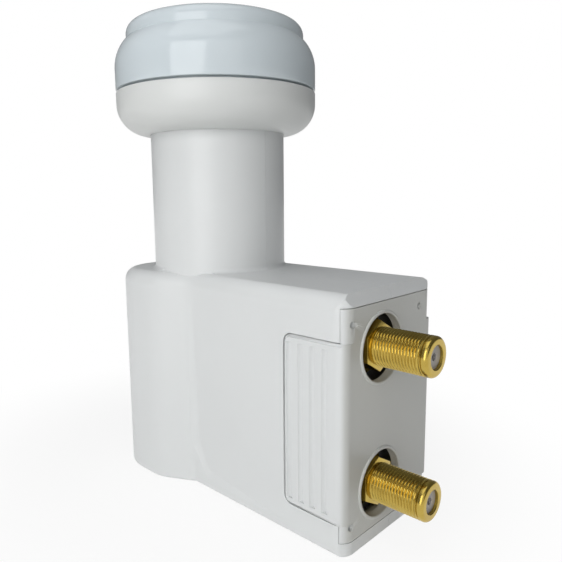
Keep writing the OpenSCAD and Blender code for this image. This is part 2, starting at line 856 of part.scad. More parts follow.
// bent probe, across the guide at a right angle to the first
module probe_horizontal() {
    color([0.8, 0.65, 0.3]) {
        across(-board_face - 0.6, probe_radius + 0.1) translate([probe_feed_x, probe_high])
            circle(probe_radius + 0.1);
        along(guide_radius - probe_reach, probe_feed_x) translate([0, probe_high])
            circle(probe_radius);
    }
}

// insulating bead of the straight probe
module bead_vertical() {
    color([0.92, 0.92, 0.9])
    across(-board_seat, -guide_radius - 0.3) translate([0, probe_low]) difference() {
        circle(bead_radius);
        circle(probe_radius + fit_gap);
    }
}

// insulating bead of the bent probe
module bead_horizontal() {
    color([0.92, 0.92, 0.9])
    along(guide_radius + 0.3, guide_radius + 0.3 + 2) translate([0, probe_high]) difference() {
        circle(bead_radius);
        circle(probe_radius + fit_gap);
    }
}

// pin that turns back one polarisation between the probes
module reflector_pin() {
    color([0.7, 0.71, 0.72])
    across(-guide_radius - 1.1, guide_radius + 1.1) translate([0, reflector_level])
        circle(probe_radius);
}

// barrel with hexagon and rear spigot
module connector(z) {
    color([0.83, 0.7, 0.4])
    translate([0, -connector_offset, z]) rotate([0, 90, 0]) difference() {
        union() {
            translate([0, 0, barrel_back]) cylinder(h = box_front - barrel_back, r = thread_radius);
            translate([0, 0, barrel_back])
                cylinder(h = hex_back - barrel_back + 1, r = thread_radius - 0.2);
            translate([0, 0, hex_back]) rotate([0, 0, 30])
                cylinder(h = hex_front - hex_back, r = hex_width / 2 / cos(30), $fn = 6);
            translate([0, 0, hex_front - 1])
                cylinder(h = tip - nose_chamfer - hex_front + 1, r = thread_radius);
            translate([0, 0, tip - nose_chamfer])
                cylinder(h = nose_chamfer, r1 = thread_radius, r2 = thread_radius - nose_chamfer);
        }
        translate([0, 0, barrel_back - 1])
            cylinder(h = tip - lip_thickness - barrel_back + 1, r = barrel_bore);
        translate([0, 0, barrel_back]) cylinder(h = tip, r = mouth_radius);
    }
}

// upper F connector
module connector_upper() {
    connector(connector_high);
}

// lower F connector
module connector_lower() {
    connector(connector_low);
}

// insulator that fills the barrel
module insulator(z) {
    color([0.82, 0.82, 0.8])
    translate([0, -connector_offset, z]) rotate([0, 90, 0]) difference() {
        translate([0, 0, barrel_back + 0.4])
            cylinder(h = tip - lip_thickness - fit_gap - barrel_back - 0.4, r = barrel_bore - fit_gap);
        translate([0, 0, barrel_back - 1]) cylinder(h = tip - 3 - barrel_back, r = contact_radius + fit_gap);
        cylinder(h = 100, r = socket_radius);
    }
}

// insulator of the upper connector
module insulator_upper() {
    insulator(connector_high);
}

// insulator of the lower connector
module insulator_lower() {
    insulator(connector_low);
}

// spring contact with its leg to the board
module contact(z) {
    color([0.85, 0.72, 0.42])
    translate([0, -connector_offset, z]) {
        rotate([0, 90, 0]) difference() {
            union() {
                translate([0, 0, barrel_back]) cylinder(h = tip - 4.2 - barrel_back, r = contact_radius);
                translate([0, 0, leg_x]) cylinder(h = 6, r = 0.5);
            }
            translate([0, 0, tip - 4.2 - socket_depth]) cylinder(h = 30, r = 0.55);
        }
        across(-board_face + connector_offset - 0.6, 0.6) translate([leg_x, 0]) circle(0.6);
    }
}

// contact of the upper connector
module contact_upper() {
    contact(connector_high);
}

// contact of the lower connector
module contact_lower() {
    contact(connector_low);
}

// sealing washer under the hexagon
module washer(z) {
    color([0.7, 0.57, 0.33])
    translate([0, -connector_offset, z]) rotate([0, 90, 0]) translate([0, 0, box_front])
        difference() {
            cylinder(h = washer_thickness, r = washer_radius);
            translate([0, 0, -1]) cylinder(h = washer_thickness + 2, r = thread_radius - 0.1);
        }
}

// washer of the upper connector
module washer_upper() {
    washer(connector_high);
}

// washer of the lower connector
module washer_lower() {
    washer(connector_low);
}

// countersunk screw through the lid
module lid_fixing(x, z) {
    color([0.6, 0.6, 0.62])
    translate([x, 0, z]) difference() {
        union() {
            across(-lid_top, -board_seat + 2) circle(lid_screw);
            translate([0, -lid_top, 0]) rotate([-90, 0, 0])
                cylinder(h = lid_head - lid_screw, r1 = lid_head, r2 = lid_screw);
        }
        for (a = [0, 90]) rotate([0, a, 0])
            translate([-1.1, -lid_top - 1, -0.2]) cube([2.2, 1.5, 0.4]);
    }
}

// lid screw, lower back
module lid_screw_a() {
    lid_fixing(lid_x[0], lid_z[0]);
}

// lid screw, lower middle
module lid_screw_b() {
    lid_fixing(lid_x[1], lid_z[0]);
}

// lid screw, lower front
module lid_screw_c() {
    lid_fixing(lid_x[2], lid_z[0]);
}

// lid screw, upper back
module lid_screw_d() {
    lid_fixing(lid_x[0], lid_z[1]);
}

// lid screw, upper middle
module lid_screw_e() {
    lid_fixing(lid_x[1], lid_z[1]);
}

// lid screw, upper front
module lid_screw_f() {
    lid_fixing(lid_x[2], lid_z[1]);
}

// screw that draws the two shell halves together
module shell_fixing(p) {
    color([0.62, 0.62, 0.64])
    translate([p[0], 0, p[1]]) difference() {
        union() {
            across(-13.5, side - 6 - fit_gap) circle(shell_screw);
            across(side - 6, side - 4) circle(shell_head);
            across(side - 6.2, side - 5) circle(shell_screw);
        }
        for (a = [0, 90]) rotate([0, a, 0])
            translate([-1.2, side - 5, -0.25]) cube([2.4, 2, 0.5]);
    }
}

// shell screw, lower front
module shell_screw_a() {
    shell_fixing(post_places()[0]);
}

// shell screw, upper front
module shell_screw_b() {
    shell_fixing(post_places()[1]);
}

// shell screw, lower back
module shell_screw_c() {
    shell_fixing(post_places()[2]);
}

// shell screw, upper back
module shell_screw_d() {
    shell_fixing(post_places()[3]);
}

left_shell();
right_shell();
weather_cover();
collar_ring();
feed_cap();
cap_seal();
chassis();
chassis_lid();
lid_gasket();
rf_board();
shield_frame();
mixer_chip();
switch_chip();
regulator();
resonator_low();
resonator_high();
tuning_screw_low();
tuning_screw_high();
probe_vertical();
probe_horizontal();
bead_vertical();
bead_horizontal();
reflector_pin();
connector_upper();
connector_lower();
insulator_upper();
insulator_lower();
contact_upper();
contact_lower();
washer_upper();
washer_lower();
lid_screw_a();
lid_screw_b();
lid_screw_c();
lid_screw_d();
lid_screw_e();
lid_screw_f();
shell_screw_a();
shell_screw_b();
shell_screw_c();
shell_screw_d();
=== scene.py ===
# Looks of a satellite LNB: satin white body, glossy feed cap, gold connectors.
import bpy
import bmesh
import json
import math
from mathutils import Matrix, Vector


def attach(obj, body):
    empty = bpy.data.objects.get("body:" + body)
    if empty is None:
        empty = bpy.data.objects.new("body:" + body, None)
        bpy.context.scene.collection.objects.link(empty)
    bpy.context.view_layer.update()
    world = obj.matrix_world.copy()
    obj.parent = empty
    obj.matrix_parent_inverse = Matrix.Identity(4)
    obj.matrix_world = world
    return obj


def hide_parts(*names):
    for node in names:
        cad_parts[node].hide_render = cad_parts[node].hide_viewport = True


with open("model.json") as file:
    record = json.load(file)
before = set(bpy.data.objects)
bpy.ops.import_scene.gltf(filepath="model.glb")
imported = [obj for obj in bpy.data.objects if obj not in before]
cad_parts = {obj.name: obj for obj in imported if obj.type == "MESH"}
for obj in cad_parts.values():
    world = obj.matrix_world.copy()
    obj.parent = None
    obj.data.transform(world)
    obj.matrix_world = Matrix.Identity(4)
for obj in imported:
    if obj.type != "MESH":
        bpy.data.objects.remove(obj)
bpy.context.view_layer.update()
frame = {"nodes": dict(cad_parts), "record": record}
nodes = frame["nodes"]
mm = 0.001
print("frame loaded:", len(nodes), "nodes")


def linearColour(hexCode):
    channels = [int(hexCode[i:i + 2], 16) / 255 for i in (1, 3, 5)]
    return tuple(c / 12.92 if c <= 0.04045 else ((c + 0.055) / 1.055) ** 2.4 for c in channels) + (1.0,)


def addNode(tree, kind, settings=None, links=None):
    node = tree.nodes.new(kind)
    for key, value in (settings or {}).items():
        if isinstance(key, str) and hasattr(node, key):
            setattr(node, key, value)
        else:
            node.inputs[key].default_value = value
    for key, source in (links or {}).items():
        tree.links.new(source, node.inputs[key])
    return node


def newMaterial(name):
    material = bpy.data.materials.new(name)
    material.use_nodes = True
    material.node_tree.nodes.clear()
    return material, material.node_tree


# moulded plastic: faint broad shading and a satin sheen, broken up by spark-eroded grain,
# which is drawn coarser than the real one so that it shows
def mouldedPlastic(name, colour, shade, rough, grain=0.35, grainDepth=0.012, coat=0.0, paintedShade=None):
    material, tree = newMaterial(name)
    place = addNode(tree, "ShaderNodeTexCoord").outputs["Object"]
    broad = addNode(tree, "ShaderNodeTexNoise", {"Scale": 1 / (28 * mm), "Detail": 3.0},
                    {"Vector": place})
    tone = addNode(tree, "ShaderNodeMix",
                   {"data_type": "RGBA", 6: linearColour(colour), 7: linearColour(shade)},
                   {0: broad.outputs["Fac"]})
    if paintedShade:      # painted shade: greyer from one place along X to another, standing in for the shade on that face
        shadeGrey, fromX, toX = paintedShade
        alongX = addNode(tree, "ShaderNodeSeparateXYZ", {}, {"Vector": place}).outputs["X"]
        share = addNode(tree, "ShaderNodeMapRange",
                        {"interpolation_type": "SMOOTHSTEP",
                         "From Min": fromX * mm, "From Max": toX * mm}, {"Value": alongX})
        tone = addNode(tree, "ShaderNodeMix", {"data_type": "RGBA", 7: linearColour(shadeGrey)},
                       {0: share.outputs[0], 6: tone.outputs[2]})
    fine = addNode(tree, "ShaderNodeTexNoise", {"Scale": 1 / (grain * mm), "Detail": 2.0},
                   {"Vector": place})
    polish = addNode(tree, "ShaderNodeMapRange", {"To Min": rough - 0.05, "To Max": rough + 0.06},
                     {"Value": broad.outputs["Fac"]})
    bump = addNode(tree, "ShaderNodeBump", {"Strength": 0.5, "Distance": grainDepth * mm},
                   {"Height": fine.outputs["Fac"]})
    shader = addNode(tree, "ShaderNodeBsdfPrincipled",
                     {"IOR": 1.5, "Coat Weight": coat, "Coat Roughness": 0.06},
                     {"Base Color": tone.outputs[2], "Roughness": polish.outputs[0],
                      "Normal": bump.outputs[0]})
    addNode(tree, "ShaderNodeOutputMaterial", {}, {"Surface": shader.outputs[0]})
    return material


# gold flashed brass, turned: fine rings round the barrel, drawn coarser than real, and a warm patchy tone
def turnedGold(name, light, deep, rough):
    material, tree = newMaterial(name)
    place = addNode(tree, "ShaderNodeTexCoord").outputs["Object"]
    patch = addNode(tree, "ShaderNodeTexNoise", {"Scale": 1 / (3 * mm), "Detail": 4.0},
                    {"Vector": place})
    tone = addNode(tree, "ShaderNodeMix",
                   {"data_type": "RGBA", 6: linearColour(light), 7: linearColour(deep)},
                   {0: patch.outputs["Fac"]})
    stretch = addNode(tree, "ShaderNodeMapping",
                      {"Scale": (1 / (0.12 * mm), 1 / (6 * mm), 1 / (6 * mm))}, {"Vector": place})
    rings = addNode(tree, "ShaderNodeTexNoise", {"Scale": 1.0, "Detail": 2.0},
                    {"Vector": stretch.outputs[0]})
    polish = addNode(tree, "ShaderNodeMapRange", {"To Min": rough - 0.06, "To Max": rough + 0.1},
                     {"Value": rings.outputs["Fac"]})
    bump = addNode(tree, "ShaderNodeBump", {"Strength": 0.25, "Distance": 0.01 * mm},
                   {"Height": rings.outputs["Fac"]})
    shader = addNode(tree, "ShaderNodeBsdfPrincipled", {"Metallic": 1.0},
                     {"Base Color": tone.outputs[2], "Roughness": polish.outputs[0],
                      "Normal": bump.outputs[0]})
    addNode(tree, "ShaderNodeOutputMaterial", {}, {"Surface": shader.outputs[0]})
    return material


# bare metal: mottled by the casting skin or by the grain of the rolled sheet
def bareMetal(name, light, deep, rough, grain, depth):
    material, tree = newMaterial(name)
    place = addNode(tree, "ShaderNodeTexCoord").outputs["Object"]
    skin = addNode(tree, "ShaderNodeTexNoise", {"Scale": 1 / (grain * mm), "Detail": 5.0},
                   {"Vector": place})
    tone = addNode(tree, "ShaderNodeMix",
                   {"data_type": "RGBA", 6: linearColour(light), 7: linearColour(deep)},
                   {0: skin.outputs["Fac"]})
    polish = addNode(tree, "ShaderNodeMapRange", {"To Min": rough - 0.08, "To Max": rough + 0.12},
                     {"Value": skin.outputs["Fac"]})
    bump = addNode(tree, "ShaderNodeBump", {"Strength": 0.5, "Distance": depth * mm},
                   {"Height": skin.outputs["Fac"]})
    shader = addNode(tree, "ShaderNodeBsdfPrincipled", {"Metallic": 1.0},
                     {"Base Color": tone.outputs[2], "Roughness": polish.outputs[0],
                      "Normal": bump.outputs[0]})
    addNode(tree, "ShaderNodeOutputMaterial", {}, {"Surface": shader.outputs[0]})
    return material


# circuit board: green solder mask over copper tracks, with the glass weave just felt in the gloss
def solderMask(name):
    material, tree = newMaterial(name)
    place = addNode(tree, "ShaderNodeTexCoord").outputs["Object"]
    turned = addNode(tree, "ShaderNodeMapping", {"Rotation": (math.radians(90), 0, 0)},
                     {"Vector": place})
    tracks = addNode(tree, "ShaderNodeTexBrick",
                     {"Scale": 1 / (9 * mm), "Mortar Size": 0.045, "Mortar Smooth": 0.1,
                      "Color1": linearColour("#1F5A38"), "Color2": linearColour("#24633E"),
                      "Mortar": linearColour("#3C8F57")}, {"Vector": turned.outputs[0]})
    weave = addNode(tree, "ShaderNodeTexNoise", {"Scale": 1 / (0.5 * mm), "Detail": 2.0},
                    {"Vector": place})
    bump = addNode(tree, "ShaderNodeBump", {"Strength": 0.3, "Distance": 0.02 * mm},
                   {"Height": weave.outputs["Fac"]})
    shader = addNode(tree, "ShaderNodeBsdfPrincipled", {"Roughness": 0.3, "IOR": 1.5},
                     {"Base Color": tracks.outputs["Color"], "Normal": bump.outputs[0]})
    addNode(tree, "ShaderNodeOutputMaterial", {}, {"Surface": shader.outputs[0]})
    return material


finishes = {      # plastics: colour, shade, roughness, grain and its depth in mm, coat
    "shell": mouldedPlastic("satin white ASA, moulded", "#DBDDDD", "#D7D9D9", 0.34),
    "cover": mouldedPlastic("satin white ASA, moulded cover", "#DADCDC", "#D6D8D8", 0.36,
                            paintedShade=("#C3C4C0", 60.9, 62.2)),      # painted shade: the end plate is drawn greyer than the grips, for the shade that falls on its face
    "collar": mouldedPlastic("pale grey white ASA, moulded", "#D8DAD9", "#D3D5D3", 0.36),
    "cap": mouldedPlastic("glossy blue grey polypropylene", "#CDD6DA", "#C7D0D5", 0.1, 0.8, 0.004, 0.0),
    "seal": mouldedPlastic("black rubber, moulded", "#1B1B1C", "#222223", 0.7, 0.3, 0.03),
    "casting": bareMetal("die-cast aluminium", "#B4B6B8", "#9C9EA0", 0.45, 0.5, 0.03),
    "sheet": bareMetal("rolled aluminium sheet", "#C2C4C6", "#B4B6B8", 0.32, 1.2, 0.008),
    "board": solderMask("glass epoxy board, green mask"),
    "tin": bareMetal("tinned steel fence", "#C6C8CA", "#B0B2B4", 0.28, 0.8, 0.008),
    "chip": mouldedPlastic("black epoxy, moulded", "#1C1C1E", "#232325", 0.5, 0.15, 0.01),
    "puck": mouldedPlastic("fired dielectric ceramic", "#DCCFB4", "#CDBE9F", 0.55, 0.2, 0.01),
    "gold": turnedGold("gold flashed brass, turned", "#CCB45E", "#AD9242", 0.2),
    "insulation": mouldedPlastic("grey polymer", "#B4B0AE", "#A9A5A3", 0.4, 0.3, 0.006),
    "steel": bareMetal("zinc plated steel", "#B9BBBF", "#A2A4A8", 0.3, 0.6, 0.006),
}
slotOf = {part["node"]: part["material_slot"] for part in frame["record"]["subparts"]}
for name, piece in nodes.items():
    piece.data.materials.clear()
    piece.data.materials.append(finishes[slotOf[name]])
print("finishes laid on")


# a finished piece from a bmesh in mm, riding on one body
def pieceFrom(bm, name, slot, body, replaced, crease=30):
    bmesh.ops.remove_doubles(bm, verts=bm.verts, dist=0.0005)
    bmesh.ops.recalc_face_normals(bm, faces=bm.faces)
    bmesh.ops.scale(bm, vec=(mm, mm, mm), verts=bm.verts)
    mesh = bpy.data.meshes.new(name)
    bm.to_mesh(mesh)
    bm.free()
    mesh.materials.append(finishes[slot])
    piece = bpy.data.objects.new(name, mesh)
    bpy.context.scene.collection.objects.link(piece)
    for face in mesh.polygons:
        face.use_smooth = True
    mesh.set_sharp_from_angle(angle=math.radians(crease))
    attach(piece, body)
    if replaced:
        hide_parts(*replaced)
    return piece


# points of an arc in the profile plane, from one angle to another
def arc(cx, cz, radius, start, end, count):
    angles = [math.radians(start + (end - start) * i / count) for i in range(count + 1)]
    return [(cx + radius * math.cos(angle), cz + radius * math.sin(angle)) for angle in angles]


# a closed or open outline spun round an axis
def spun(outline, segments, axis=(0, 0, 1), closed=True):
    bm = bmesh.new()
    across = (1, 0, 0) if axis[2] else (0, 0, 1)
    along = Vector(axis)
    points = [bm.verts.new(Vector(across) * r + along * z) for r, z in outline]
    edges = [bm.edges.new((a, b)) for a, b in zip(points, points[1:])]
    if closed:
        edges.append(bm.edges.new((points[-1], points[0])))
    bmesh.ops.spin(bm, geom=points + edges, cent=(0, 0, 0), axis=axis, angle=math.tau, steps=segments,
                   use_merge=True, use_duplicate=False)
    bmesh.ops.remove_doubles(bm, verts=bm.verts, dist=0.0005)
    return bm


cap = {      # mm and degrees, radii from the neck's axis
    "skirtRadius": 29.5, "seamTop": 114.2, "skirtTop": 120.3, "shoulder": 11.0,
    "crownRadius": 26.0, "crownTop": 132.9, "crownEdge": 3.0, "wall": 1.6,
    "rimRadius": 27.3, "rimLow": 110.0, "ledge": 2.0, "innerStop": 3.0,
    "lip": 0.25, "lipCut": 0.3, "segments": 192,
}


# feed cap: one closed wall with a softened lower lip
def makeCap():
    c = cap
    skirt, seam, wall, lip = c["skirtRadius"], c["seamTop"], c["wall"], c["lip"]
    shoulderX, crownX = skirt - c["shoulder"], c["crownRadius"] - c["crownEdge"]
    crownZ = c["crownTop"] - c["crownEdge"]
    meets = math.degrees(math.acos((c["crownRadius"] - skirt + c["shoulder"]) / c["shoulder"]))
    outline = [(0, c["crownTop"])]
    outline += arc(crownX, crownZ, c["crownEdge"], 90, 0, count=10)
    outline += arc(shoulderX, c["skirtTop"], c["shoulder"], meets, 0, count=20)
    outline += [(skirt, seam + lip), (skirt - lip * c["lipCut"], seam + lip * c["lipCut"]),
                (skirt - lip, seam), (c["rimRadius"], seam), (c["rimRadius"], c["rimLow"]),
                (c["rimRadius"] - wall, c["rimLow"]), (c["rimRadius"] - wall, seam + c["ledge"]),
                (skirt - wall, seam + c["ledge"])]
    outline += arc(shoulderX, c["skirtTop"], c["shoulder"] - wall, 0, meets - c["innerStop"], count=10)
    outline += arc(crownX, crownZ, c["crownEdge"] - wall, 0, 90, count=6)
    outline += [(0, c["crownTop"] - wall)]
    return pieceFrom(spun(outline, c["segments"], closed=False), "feedCapGloss", "cap", "lnb",
                     ["feed_cap"])


collar = {      # mm, radii from the neck's axis
    "innerRadius": 20.1, "low": 101.8, "high": 113.6, "radius": 29.5, "round": 8.5,
    "sleeve": 22.1, "wall": 2.0, "channel": 106.2, "corner": 4.1, "lip": 0.3, "lipCut": 0.3,
    "ledgeRadius": 18.6, "ledgeLow": 108.35, "ledgeHigh": 109.85, "segments": 192,
}


# collar: rounded underside, channel for the cap's rim, soft upper lip
def makeCollar():
    c = collar
    radius, high, lip = c["radius"], c["high"], c["lip"]
    channelOuter = radius - c["wall"]
    outline = [(c["innerRadius"], c["low"])]
    outline += arc(radius - c["round"], c["low"] + c["round"], c["round"], -90, 0, count=24)
    outline += [(radius, high - lip), (radius - lip * c["lipCut"], high - lip * c["lipCut"]),
                (radius - lip, high), (channelOuter, high)]
    outline += arc(channelOuter - c["corner"], c["channel"] + c["corner"], c["corner"], 0, -90, count=10)
    outline += [(c["sleeve"], c["channel"]), (c["sleeve"], high), (c["innerRadius"], high),
                (c["innerRadius"], c["ledgeHigh"]), (c["ledgeRadius"], c["ledgeHigh"]),
                (c["ledgeRadius"], c["ledgeLow"]), (c["innerRadius"], c["ledgeLow"])]
    return pieceFrom(spun(outline, c["segments"]), "collarRing", "collar", "lnb", ["collar_ring"])


connector = {      # mm along X, radii from the barrel's axis
    "offset": -5.3, "lower": 14.4, "upper": 48.5,
    "hexBack": 57.8, "hexFront": 62.5, "hexWidth": 11.0, "hexSoft": 0.35,
    "tip": 76.9, "crest": 4.7625, "root": 4.38, "pitch": 0.79375, "pointsPerTurn": 8,
    "threadStart": 62.9, "threadEnd": 75.1, "runIn": 0.5, "firstTurn": 0.3, "runOut": 0.8,
    "relief": 0.2, "reliefBack": 0.8, "reliefFront": 0.35,
    "undercut": 0.3, "undercutStart": 0.2, "undercutEnd": 0.35, "noseStart": 0.5,
    "noseRound": 0.9, "bore": 3.5, "boreWall": 0.7, "mouth": 2.8, "mouthSoft": 0.15, "lip": 0.8,
    "spigot": 51.0, "segments": 96,
}


# connector: hexagon with turned corners, helical thread, nose, bore and rear spigot
def makeConnector(name, level, node):
    c = connector
    crest, start, end, tip = c["crest"], c["threadStart"], c["threadEnd"], c["tip"]
    relief, undercut = crest - c["relief"], crest - c["undercut"]
    spacing = c["pitch"] / c["pointsPerTurn"]
    count = int(round((end - start) / spacing))
    outline = [(c["bore"], c["spigot"]), (crest, c["spigot"]), (crest, c["hexBack"] - c["reliefBack"]),
               (relief, c["hexBack"] - c["reliefBack"]), (relief, start - c["reliefFront"])]
    outline += [(crest, start + spacing * i) for i in range(count + 1)]
    outline += [(undercut, end + c["undercutStart"]), (undercut, end + c["undercutEnd"]),
                (crest, end + c["noseStart"])]
    outline += arc(crest - c["noseRound"], tip - c["noseRound"], c["noseRound"], 0, 90, count=6)
    outline += [(c["mouth"] + c["mouthSoft"], tip), (c["mouth"], tip - c["mouthSoft"]),
                (c["mouth"], tip - c["lip"]), (c["bore"], tip - c["lip"])]
    bm = spun(outline, c["segments"], axis=(1, 0, 0))
    depth = crest - c["root"]
    close = 0.001
    for vert in bm.verts:                       # the helix: depth follows the angle round the barrel
        x = vert.co.x
        radius = math.hypot(vert.co.y, vert.co.z)
        if start - close <= x <= end + close and radius > c["bore"] + c["boreWall"]:
            turn = math.atan2(vert.co.z, vert.co.y) / math.tau
            phase = (x / c["pitch"] - turn) % 1
            groove = 0.5 - 0.5 * math.cos(math.tau * phase)
            fade = min(1.0, (end - x) / c["runOut"], (x - start) / c["runIn"] + c["firstTurn"])
            scale = (radius - depth * groove * max(0.0, fade)) / radius
            vert.co.y *= scale
            vert.co.z *= scale
    corner = c["hexWidth"] / 2 / math.cos(math.pi / 6)
    nut = bmesh.ops.create_cone(bm, cap_ends=True, segments=6, radius1=corner, radius2=corner,
                                depth=c["hexFront"] - c["hexBack"])["verts"]
    bmesh.ops.rotate(bm, verts=nut, cent=(0, 0, 0), matrix=Matrix.Rotation(math.pi / 2, 3, "Y"))
    bmesh.ops.translate(bm, verts=nut, vec=((c["hexFront"] + c["hexBack"]) / 2, 0, 0))
    bmesh.ops.rotate(bm, verts=nut, cent=(0, 0, 0), matrix=Matrix.Rotation(math.pi / 6, 3, "X"))
    ends = [face for face in bm.faces if len(face.verts) == 6]
    rims = list({edge for face in ends for edge in face.edges})
    bmesh.ops.bevel(bm, geom=rims, offset=c["hexSoft"], offset_type="OFFSET", affect="EDGES",
                    segments=2, profile=0.5, material=-1)
    bmesh.ops.translate(bm, verts=bm.verts, vec=(0, c["offset"], level))
    return pieceFrom(bm, name, "gold", "lnb", [node], crease=24)


grip = {      # mm: ribbed grips on the cover's sides and dimples in its end plate
    "face": 19.6, "start": 44.9, "end": 58.0, "low": 8.0, "high": 51.3,
    "shallowest": 0.01, "deepest": 0.45, "deepen": 2.0,
    "plate": 62.3, "dimpleDepth": 0.5, "dimpleMore": 0.7, "dimpleReach": 17.5,
    "crease": 14, "flatWeight": 90,
}


# weather cover from its solid, with the grooves of the grips cut to their full depth
def makeCover():
    g = grip
    source = nodes["weather_cover"]
    bm = bmesh.new()
    bm.from_mesh(source.data)
    bm.transform(source.matrix_world)
    bmesh.ops.scale(bm, vec=(1 / mm, 1 / mm, 1 / mm), verts=bm.verts)
    close = 0.002
    for vert in bm.verts:
        x, y, z = vert.co
        depth = g["face"] - abs(y)
        onGrip = g["start"] < x < g["end"] and g["low"] < z < g["high"]
        if onGrip and g["shallowest"] < depth < g["deepest"]:
            vert.co.y = math.copysign(g["face"] - g["deepen"] * depth, y)
        if abs(g["plate"] - x - g["dimpleDepth"]) < close and abs(y) < g["dimpleReach"]:
            vert.co.x -= g["dimpleMore"]
    piece = pieceFrom(bm, "weatherCoverRibbed", "cover", "cover", ["weather_cover"], crease=g["crease"])
    flat = piece.modifiers.new("flat faces stay flat", "WEIGHTED_NORMAL")
    flat.keep_sharp = True
    flat.weight = g["flatWeight"]


recess = {      # mm and degrees: left edge of the sunk side panel
    "side": 19.25, "floor": 18.35,              # long side and panel floor, from the middle plane
    "start": 8.0, "base": 6.0, "corner": 8.0,   # left edge, lower edge and corner radius of the panel
    "wallSlope": 0.257, "leanX": 1.5, "leanZ": 1.1,      # slope of its wall and leans of its floor
    "flankX": 8.49, "flankAngle": 29.0,         # where the lobe's flank starts, and its lean
    "shoulderZ": 58.61, "shoulder": 3.75, "top": 62.3, "neck": 20.0,
    "lipX": 7.95, "lipY": 19.6, "edgeSlope": 0.8,        # one point of the slanting edge, and its slope
    "turnStart": 20, "turnSpan": 70,            # where round the corner the edge turns shallow
    "blend": 1.3, "sharp": 0.01, "blendStart": 0.3, "blendSpan": 6,      # rounding of the hollows
    "skinGap": 0.008, "floorGap": 0.012, "edgeGap": 0.05, "wall": 0.06,
    "left": 3.1, "fineTo": 10.1, "right": 16.2, "fineColumn": 0.1, "wideColumn": 0.305,
    "low": 3.0, "high": 74.0, "cornerRow": 0.22, "sideRow": 2, "shoulderRow": 0.123,
    "topGap": 0.002, "neckStart": 0.7, "neckRow": 1,
}


# from 0 to 1 with a soft start and a soft end
def smooth(t):
    t = min(max(t, 0.0), 1.0)
    return t * t * (3 - 2 * t)


# the larger of two levels, with the hollow between them rounded
def softMax(a, b, width):
    near = max(width - abs(a - b), 0) / width
    return max(a, b) + near * near * width / 4


# how far out from the middle plane the recess and its finished edge lie, at one place of the side
def recessLevels(x, z):
    r = recess
    floor = (r["floor"] + (x - r["start"]) * math.tan(math.radians(r["leanX"]))
             + (z - r["base"]) * math.tan(math.radians(r["leanZ"])))
    midX, midZ = r["start"] + r["corner"], r["base"] + r["corner"]
    away = math.hypot(midX - x, min(z - midZ, 0))
    turned = math.degrees(math.atan2(max(midZ - z, 0), max(midX - x, 1e-6)))
    shallow = r["floor"] + (away - r["corner"]) * r["wallSlope"]
    steep = r["lipY"] + (away - (midX - r["lipX"])) * r["edgeSlope"]
    share = smooth((turned - r["turnStart"]) / r["turnSpan"])
    edge = (1 - share) * steep + share * (shallow - r["edgeGap"])
    rise = z - r["shoulderZ"]
    inset = r["shoulder"] - math.sqrt(r["shoulder"] ** 2 - min(max(rise, 0), r["shoulder"]) ** 2)
    skins = [math.sqrt(max(r["neck"] ** 2 - x * x, 0))] if rise > 0 else []
    if z < r["top"]:
        lean = math.radians(r["flankAngle"])
        side = r["side"] - inset
        flank = r["side"] + (r["flankX"] - x) * math.tan(lean) - inset / math.cos(lean)
        risen = smooth((z - r["low"] - r["blendStart"]) / r["blendSpan"])
        skins.append(softMax(side, flank, r["sharp"] + r["blend"] * risen))
    inner = max(floor, shallow)
    rounded = softMax(edge, inner - r["floorGap"], r["sharp"] + r["blend"] * (1 - share))
    outer = min(max(skins) - r["skinGap"], rounded)
    return min(outer, inner) - r["wall"], outer


# evenly spaced places from a start up to just before an end
def places(start, end, spacing):
    return [start + spacing * i for i in range(math.ceil((end - start) / spacing - 0.01))]


# slanting edge between the lobe's flank and the sunk panel, on one side of the shell
def makeRecessEdge(name, flip):
    r = recess
    columns = places(r["left"], r["fineTo"], r["fineColumn"])
    columns += places(r["fineTo"], r["right"] + r["wideColumn"], r["wideColumn"])
    rows = places(r["low"], r["base"] + r["corner"], r["cornerRow"])
    rows += places(r["base"] + r["corner"], r["shoulderZ"], r["sideRow"])
    rows += places(r["shoulderZ"], r["top"], r["shoulderRow"])
    rows += [r["top"] - r["topGap"], r["top"] + r["topGap"]]
    rows += places(r["top"] + r["neckStart"], r["high"] + r["neckRow"], r["neckRow"])
    across, up = len(columns) - 1, len(rows) - 1
    bm = bmesh.new()
    bmesh.ops.create_grid(bm, x_segments=across, y_segments=up, size=0.5)
    inner = list(bm.verts)
    grown = bmesh.ops.extrude_face_region(bm, geom=bm.faces[:])["geom"]
    outer = [part for part in grown if isinstance(part, bmesh.types.BMVert)]
    for level, verts in enumerate((inner, outer)):
        for vert in verts:
            x = columns[round((vert.co.x + 0.5) * across)]
            z = rows[round((vert.co.y + 0.5) * up)]
            vert.co = (x, flip * recessLevels(x, z)[level], z)
    return pieceFrom(bm, name, "shell", "lnb", [])


makeCap()
makeCollar()
makeConnector("connectorUpperThreaded", connector["upper"], "connector_upper")
makeConnector("connectorLowerThreaded", connector["lower"], "connector_lower")
print("turned and spun pieces made")
makeCover()
makeRecessEdge("recessEdgeNear", -1)
makeRecessEdge("recessEdgeFar", 1)
print("cover and recess edges made")


ground = {      # metres from the middle: where the floor starts to fade into white, and where it is white
    "radius": 2.5, "fadeStart": 0.045, "fadeEnd": 0.12, "leastWhite": 0.85, "colour": "#F4F4F3",
}


